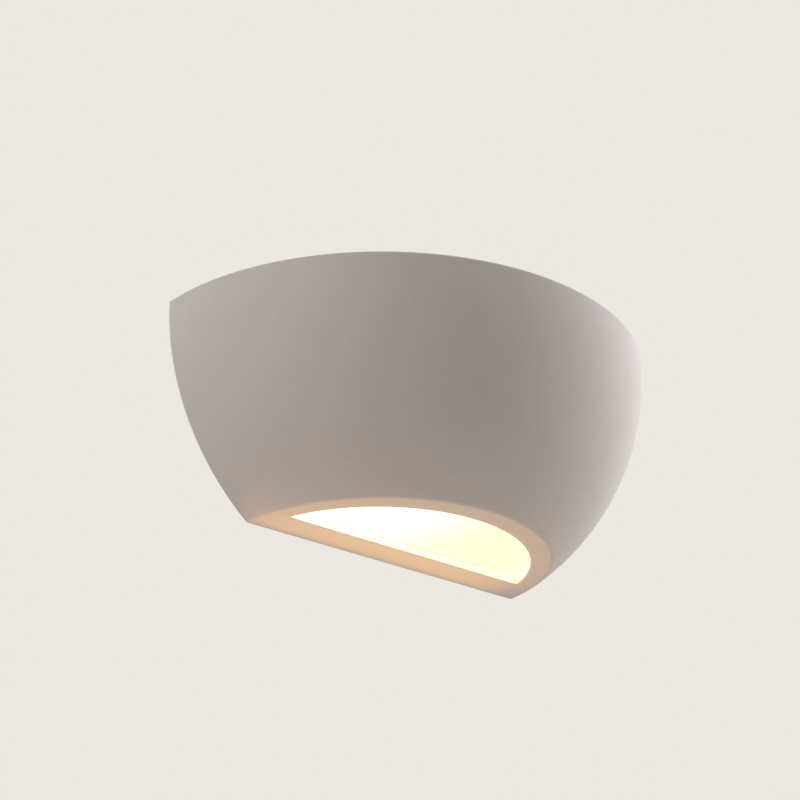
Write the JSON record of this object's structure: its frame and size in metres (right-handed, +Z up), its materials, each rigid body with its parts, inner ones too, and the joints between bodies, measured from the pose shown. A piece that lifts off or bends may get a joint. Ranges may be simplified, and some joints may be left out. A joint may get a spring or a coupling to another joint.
{
  "type": "wall light",
  "caption": "Half-bowl plaster uplighter wall light, open at the top, with a D-shaped glazed opening below, on a steel wall bracket with lampholder and bulb.",
  "frame": {"origin": "on the wall, midway between the wall bracket's two screw slots", "axes": "+Z up, +Y into the wall, +X along the wall to the right seen from the front; the front faces -Y"},
  "size_m": [0.31, 0.155, 0.1195],
  "materials": {
    "plaster": "matte",
    "frosted_glass": "satin",
    "insert_brass": "satin",
    "knurled_brass": "satin",
    "white_steel": "satin",
    "grommet_rubber": "matte",
    "zinc_steel": "satin",
    "earth_brass": "satin",
    "porcelain": "gloss",
    "shell_metal": "satin",
    "contact_brass": "satin",
    "bulb_cap_metal": "satin",
    "bulb_cap_glass": "gloss",
    "bulb_plastic": "matte",
    "bulb_opal": "satin",
    "board_metal": "satin",
    "board_green": "satin",
    "block_nylon": "satin",
    "live_brown": "matte",
    "neutral_blue": "matte",
    "earth_green": "matte"
  },
  "bodies": {
    "bracket": {"wall_bracket": "white_steel", "holder_arm": "white_steel", "cable_grommet": "grommet_rubber", "arm_screw_upper": "zinc_steel", "arm_nut_upper": "zinc_steel", "arm_screw_lower": "zinc_steel", "arm_nut_lower": "zinc_steel", "lampholder_screw_upper": "zinc_steel", "lampholder_nut_upper": "zinc_steel", "lampholder_screw_lower": "zinc_steel", "lampholder_nut_lower": "zinc_steel", "terminal_block_screw_left": "zinc_steel", "terminal_block_screw_right": "zinc_steel", "terminal_screws": "zinc_steel", "earth_washer": "zinc_steel", "earth_nut": "zinc_steel", "earth_ring_lug": "zinc_steel", "earth_screw": "earth_brass", "lampholder_body": "porcelain", "lampholder_shell": "shell_metal", "lampholder_contact": "contact_brass", "lampholder_contact_rivet": "contact_brass", "terminal_barrel_earth": "contact_brass", "terminal_barrel_live": "contact_brass", "terminal_barrel_neutral": "contact_brass", "terminal_block_body": "block_nylon", "live_wire": "live_brown", "neutral_wire": "neutral_blue", "earth_wire": "earth_green"},
    "shade": {"plaster_shade": "plaster", "shade_insert_left": "insert_brass", "shade_insert_right": "insert_brass"},
    "pane": {"glass_pane": "frosted_glass"},
    "left_thumbscrew": {"thumbscrew_left": "knurled_brass"},
    "right_thumbscrew": {"thumbscrew_right": "knurled_brass"},
    "bulb": {"bulb_screw_cap": "bulb_cap_metal", "bulb_cap_insulator": "bulb_cap_glass", "bulb_centre_contact": "bulb_cap_metal", "bulb_housing": "bulb_plastic", "bulb_diffuser": "bulb_opal", "bulb_led_board": "board_metal", "bulb_driver_board": "board_green"}
  },
  "joints": [
    {"name": "shade_pull_off", "type": "slide", "parent": "bracket", "child": "shade", "axis": [0, -1, 0], "range_m": [0, 0.12]},
    {"name": "pane_lift", "type": "slide", "parent": "shade", "child": "pane", "axis": [0, 0, 1], "range_m": [0, 0.03]},
    {"name": "left_thumbscrew_turn", "type": "hinge", "parent": "shade", "child": "left_thumbscrew", "pos_m": [-0.128, -0.02, 0], "axis": [1, 0, 0], "range_deg": [0, 360]},
    {"name": "right_thumbscrew_turn", "type": "hinge", "parent": "shade", "child": "right_thumbscrew", "pos_m": [0.128, -0.02, 0], "axis": [-1, 0, 0], "range_deg": [0, 360]},
    {"name": "bulb_unscrew", "type": "slide", "parent": "bracket", "child": "bulb", "axis": [-1, 0, 0], "range_m": [0, 0.03]}
  ]
}
